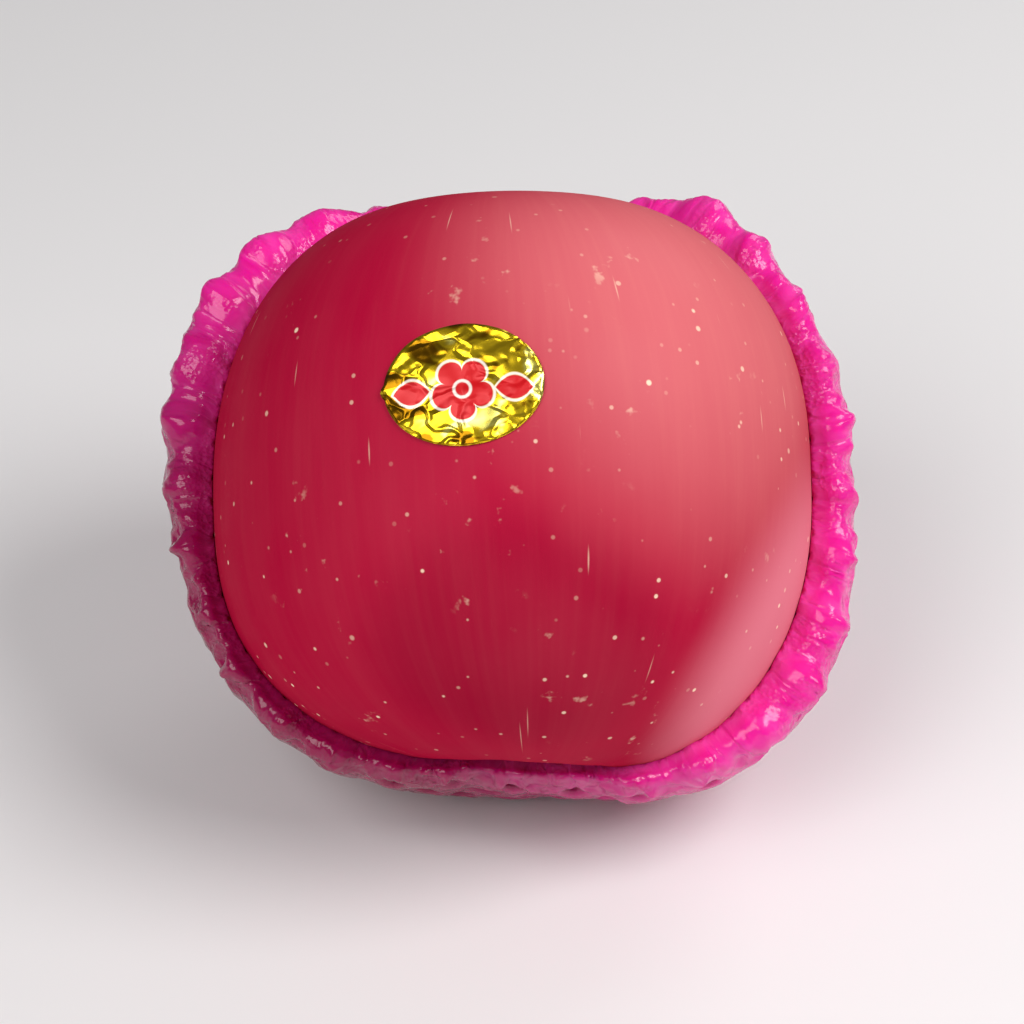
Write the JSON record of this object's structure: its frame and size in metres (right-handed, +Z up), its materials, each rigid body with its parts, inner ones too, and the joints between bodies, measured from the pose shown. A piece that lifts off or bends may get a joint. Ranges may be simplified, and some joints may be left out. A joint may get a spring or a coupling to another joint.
{
  "type": "fuji apple in a foam net",
  "caption": "Round fuji apple leaning back in an open foam net sleeve, with a short stalk, a dried calyx and an oval foil label.",
  "frame": {"origin": "on the flat spot that the part rests on, straight below the middle of the fruit", "axes": "+Z up; -Y towards the viewer, the side that the net's mouth and the label face; +X to the viewer's right"},
  "size_m": [0.0988, 0.095, 0.092],
  "materials": {
    "skin": "waxy crimson skin with pale dots and faint streaks",
    "stalk": "dry woody stalk",
    "calyx": "dried sepals",
    "foil": null,
    "foam": "glossy magenta foamed polyethylene"
  },
  "bodies": {
    "root": {"apple": "skin", "stalk": "stalk", "calyx": "calyx", "label": "foil", "foam_net": "foam"}
  },
  "joints": []
}
